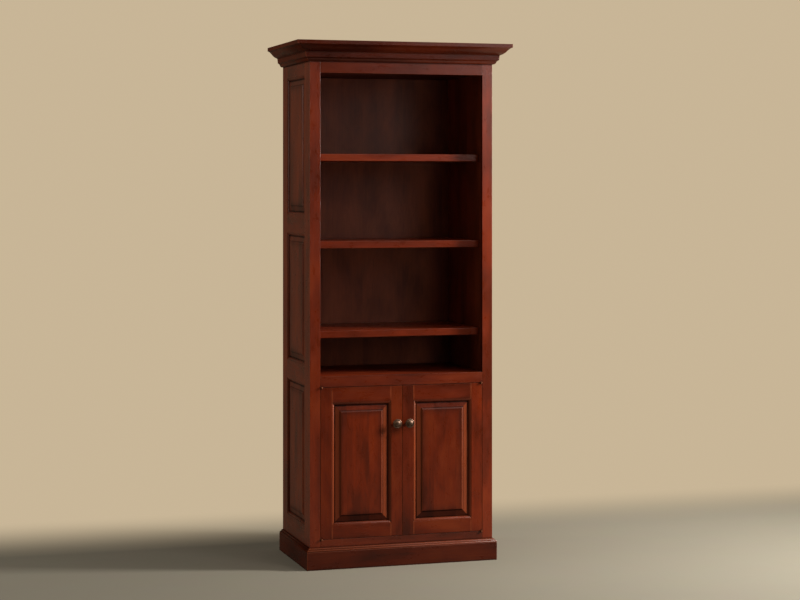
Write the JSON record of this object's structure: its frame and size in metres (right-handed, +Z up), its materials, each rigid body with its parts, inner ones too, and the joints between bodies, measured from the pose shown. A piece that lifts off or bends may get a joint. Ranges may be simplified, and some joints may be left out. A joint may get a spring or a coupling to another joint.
{
  "type": "bookcase with cabinet doors",
  "caption": "Tall free-standing wooden bookcase: mitred crown, panelled ends, open adjustable shelves, and a lower cabinet closed by inset raised-panel doors on knife hinges.",
  "frame": {"origin": "on the floor, under the centre of the bookcase's bounding box", "axes": "+Z up, doors face -Y, +X to the right of someone who faces the doors"},
  "size_m": [0.914, 0.527, 2.134],
  "materials": {
    "cherry_frame": "stained, glazed, satin lacquer",
    "cherry_panel": "stained, glazed, satin lacquer",
    "cherry_shelf": "stained, satin lacquer",
    "cherry_interior": "stained veneer, satin lacquer",
    "cherry_plywood": "stained plywood, satin lacquer",
    "aged_bronze": "antique bronze, rubbed highlights",
    "antique_brass": "antique brass",
    "catch_steel": "zinc plated",
    "nickel_steel": "nickel plated",
    "brown_plastic": "moulded, matt"
  },
  "bodies": {
    "case": {"case_side_left": "cherry_interior", "case_side_right": "cherry_interior", "case_top": "cherry_plywood", "case_deck": "cherry_interior", "case_floor": "cherry_interior", "back_panel": "cherry_plywood", "top_panel": "cherry_plywood", "frame_stile_left": "cherry_frame", "frame_stile_right": "cherry_frame", "frame_top_rail": "cherry_frame", "frame_mid_rail": "cherry_frame", "frame_bottom_rail": "cherry_frame", "left_end_front_stile": "cherry_frame", "left_end_rear_stile": "cherry_frame", "left_end_bottom_rail": "cherry_frame", "left_end_lower_rail": "cherry_frame", "left_end_upper_rail": "cherry_frame", "left_end_top_rail": "cherry_frame", "left_end_lower_panel": "cherry_panel", "left_end_middle_panel": "cherry_panel", "left_end_upper_panel": "cherry_panel", "right_end_front_stile": "cherry_frame", "right_end_rear_stile": "cherry_frame", "right_end_bottom_rail": "cherry_frame", "right_end_lower_rail": "cherry_frame", "right_end_upper_rail": "cherry_frame", "right_end_top_rail": "cherry_frame", "right_end_lower_panel": "cherry_panel", "right_end_middle_panel": "cherry_panel", "right_end_upper_panel": "cherry_panel", "crown_front": "cherry_frame", "crown_left": "cherry_frame", "crown_right": "cherry_frame", "plinth_front": "cherry_frame", "plinth_left": "cherry_frame", "plinth_right": "cherry_frame", "shelf_upper": "cherry_shelf", "shelf_centre": "cherry_shelf", "shelf_lower": "cherry_shelf", "cabinet_shelf": "cherry_interior", "shelf_pins": "nickel_steel", "case_hinge_leaves": "antique_brass", "hinge_pins": "antique_brass", "magnetic_catch": "brown_plastic"},
    "door_left": {"door_left_hinge_stile": "cherry_frame", "door_left_lock_stile": "cherry_frame", "door_left_top_rail": "cherry_frame", "door_left_bottom_rail": "cherry_frame", "door_left_panel": "cherry_panel", "door_left_knob": "aged_bronze", "door_left_hinge_leaves": "antique_brass", "door_left_strike": "catch_steel"},
    "door_right": {"door_right_hinge_stile": "cherry_frame", "door_right_lock_stile": "cherry_frame", "door_right_top_rail": "cherry_frame", "door_right_bottom_rail": "cherry_frame", "door_right_panel": "cherry_panel", "door_right_knob": "aged_bronze", "door_right_hinge_leaves": "antique_brass", "door_right_strike": "catch_steel"}
  },
  "joints": [
    {"name": "door_left_hinge", "type": "hinge", "parent": "case", "child": "door_left", "pos_m": [-0.3415, -0.2005, 0.12], "axis": [0, 0, -1], "range_deg": [0, 180]},
    {"name": "door_right_hinge", "type": "hinge", "parent": "case", "child": "door_right", "pos_m": [0.3415, -0.2005, 0.12], "axis": [0, 0, 1], "range_deg": [0, 180]}
  ]
}
